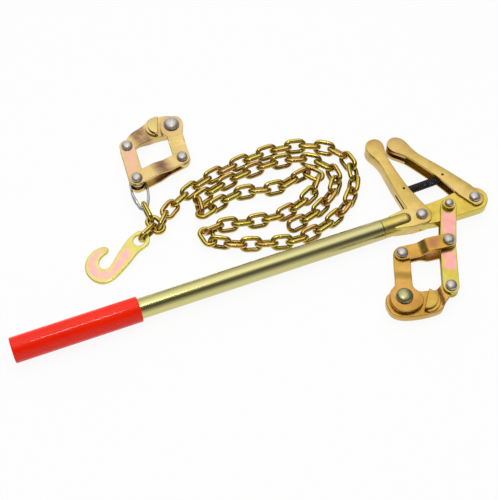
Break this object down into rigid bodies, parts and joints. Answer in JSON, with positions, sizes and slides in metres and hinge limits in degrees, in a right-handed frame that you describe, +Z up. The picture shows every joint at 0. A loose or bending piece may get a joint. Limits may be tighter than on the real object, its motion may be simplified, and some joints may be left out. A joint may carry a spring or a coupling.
{
  "type": "chain wire strainer",
  "caption": "Hand lever with a sprung chain dog and a riveted wire gripper, and a loose chain that ends in a second wire gripper and a flat hook; it pulls two wire ends together.",
  "frame": {"origin": "centre of the bounding box, on the ground the part lies on", "axes": "+X along the handle from the grip to the head, +Z up from the ground"},
  "size_m": [0.5304, 0.3418, 0.0306],
  "materials": {
    "gold_zinc": "yellow passivated zinc plate on forged and pressed steel, gold",
    "olive_zinc": "yellow passivated zinc plate on steel, olive",
    "rose_zinc": "yellow passivated zinc plate on flat bar, with pink iridescence",
    "silver_steel": "bright plated steel",
    "black_spring": "oil-blackened spring steel",
    "red_grip": "dipped glossy plastic, red"
  },
  "bodies": {
    "handle": {"dog_spring": "black_spring", "grip_sleeve": "red_grip", "handle_tube": "olive_zinc", "head_forging": "gold_zinc", "rivet_fork": "silver_steel", "spring_pin_arm": "olive_zinc"},
    "draw_plate": {"draw_plate": "gold_zinc"},
    "chain_dog": {"chain_dog": "gold_zinc", "rivet_dog": "silver_steel", "spring_pin_dog": "olive_zinc"},
    "pull_link": {"pivot_collar": "gold_zinc", "pivot_pin": "gold_zinc", "pull_link_lower": "rose_zinc", "pull_link_upper": "rose_zinc"},
    "head_grip_side": {"head_grip_rivet_d": "silver_steel", "head_grip_side_bar_lower": "rose_zinc", "head_grip_side_bar_upper": "rose_zinc"},
    "head_grip_cross": {"head_grip_cross_bar_lower": "gold_zinc", "head_grip_cross_bar_upper": "gold_zinc", "head_grip_rivet_a": "silver_steel", "head_grip_rivet_b": "silver_steel"},
    "head_grip_jaw": {"head_grip_jaw_lever": "gold_zinc"},
    "head_grip_base": {"head_grip_jaw_body": "gold_zinc", "head_grip_rivet_c": "olive_zinc"},
    "chain_set": {"chain_run_01": "olive_zinc", "chain_run_02": "olive_zinc", "chain_run_03": "olive_zinc", "chain_run_04": "olive_zinc", "chain_run_05": "olive_zinc", "chain_run_06": "olive_zinc", "chain_run_07": "olive_zinc", "chain_run_08": "olive_zinc", "chain_run_09": "olive_zinc", "chain_run_10": "olive_zinc", "chain_run_11": "olive_zinc", "chain_run_12": "olive_zinc", "chain_run_13": "olive_zinc", "chain_run_14": "olive_zinc", "end_link_strap": "olive_zinc", "end_link_turn": "olive_zinc", "hook_link": "olive_zinc"},
    "strap": {"chain_strap": "silver_steel"},
    "chain_grip_side": {"chain_grip_rivet_d": "silver_steel", "chain_grip_side_bar_lower": "rose_zinc", "chain_grip_side_bar_upper": "rose_zinc"},
    "chain_grip_cross": {"chain_grip_cross_bar_lower": "gold_zinc", "chain_grip_cross_bar_upper": "gold_zinc", "chain_grip_rivet_a": "silver_steel", "chain_grip_rivet_b": "silver_steel"},
    "chain_grip_jaw": {"chain_grip_jaw_lever": "gold_zinc"},
    "chain_grip_base": {"chain_grip_jaw_body": "gold_zinc", "chain_grip_rivet_c": "olive_zinc"},
    "hook": {"chain_hook": "rose_zinc"}
  },
  "joints": [
    {"name": "draw_plate_swing", "type": "hinge", "parent": "handle", "child": "draw_plate", "pos_m": [0.18768, -0.06155, 0.01389], "axis": [0, 0, 1], "range_deg": [-16, 0], "deforming": ["dog_spring"]},
    {"name": "chain_dog_swing", "type": "hinge", "parent": "draw_plate", "child": "chain_dog", "pos_m": [0.25088, -0.06155, 0.01389], "axis": [0, 0, 1], "range_deg": [-22, 0], "stiffness_Nm_per_rad": 2, "springref_deg": 2.86, "deforming": ["dog_spring"]},
    {"name": "pull_link_swing", "type": "hinge", "parent": "draw_plate", "child": "pull_link", "pos_m": [0.21928, -0.06155, 0.01389], "axis": [0, 0, 1], "range_deg": [0, 45]},
    {"name": "head_grip_swing", "type": "hinge", "parent": "pull_link", "child": "head_grip_side", "pos_m": [0.19934, -0.10244, 0.01389], "axis": [0, 0, 1], "range_deg": [0, 40]},
    {"name": "head_grip_close", "type": "hinge", "parent": "head_grip_side", "child": "head_grip_cross", "pos_m": [0.19934, -0.10244, 0.01389], "axis": [0, 0, 1], "range_deg": [-6, 14]},
    {"name": "head_grip_base_turn", "type": "hinge", "parent": "head_grip_side", "child": "head_grip_base", "pos_m": [0.17994, -0.15069, 0.01389], "axis": [0, 0, 1], "range_deg": [-6, 14]},
    {"name": "head_grip_jaw_turn", "type": "hinge", "parent": "head_grip_cross", "child": "head_grip_jaw", "pos_m": [0.14866, -0.09675, 0.01389], "axis": [0, 0, 1], "range_deg": [-14, 6]},
    {"name": "chain_set_slide", "type": "slide", "parent": "handle", "child": "chain_set", "axis": [0, 1, 0], "range_m": [0, 0.2]},
    {"name": "strap_swing", "type": "hinge", "parent": "chain_set", "child": "strap", "pos_m": [-0.08677, 0.06305, 0.01189], "axis": [0, 0, 1], "range_deg": [-8, 10]},
    {"name": "chain_grip_swing", "type": "hinge", "parent": "strap", "child": "chain_grip_side", "pos_m": [-0.08382, 0.09266, 0.01189], "axis": [0, 0, 1], "range_deg": [-4, 15]},
    {"name": "chain_grip_close", "type": "hinge", "parent": "chain_grip_side", "child": "chain_grip_cross", "pos_m": [-0.08382, 0.09266, 0.01189], "axis": [0, 0, 1], "range_deg": [-6, 14]},
    {"name": "chain_grip_base_turn", "type": "hinge", "parent": "chain_grip_side", "child": "chain_grip_base", "pos_m": [-0.08042, 0.14003, 0.01189], "axis": [0, 0, 1], "range_deg": [-6, 14]},
    {"name": "chain_grip_jaw_turn", "type": "hinge", "parent": "chain_grip_cross", "child": "chain_grip_jaw", "pos_m": [-0.02745, 0.10402, 0.01189], "axis": [0, 0, 1], "range_deg": [-14, 6]},
    {"name": "hook_swing", "type": "hinge", "parent": "chain_set", "child": "hook", "pos_m": [-0.105, 0.02195, 0.00019], "axis": [0, 0, 1], "range_deg": [-15, 12]}
  ],
  "couplings": [
    {"joint": "head_grip_base_turn", "follows": "head_grip_close", "ratio": 1},
    {"joint": "head_grip_jaw_turn", "follows": "head_grip_close", "ratio": -1},
    {"joint": "chain_grip_base_turn", "follows": "chain_grip_close", "ratio": 1},
    {"joint": "chain_grip_jaw_turn", "follows": "chain_grip_close", "ratio": -1}
  ]
}
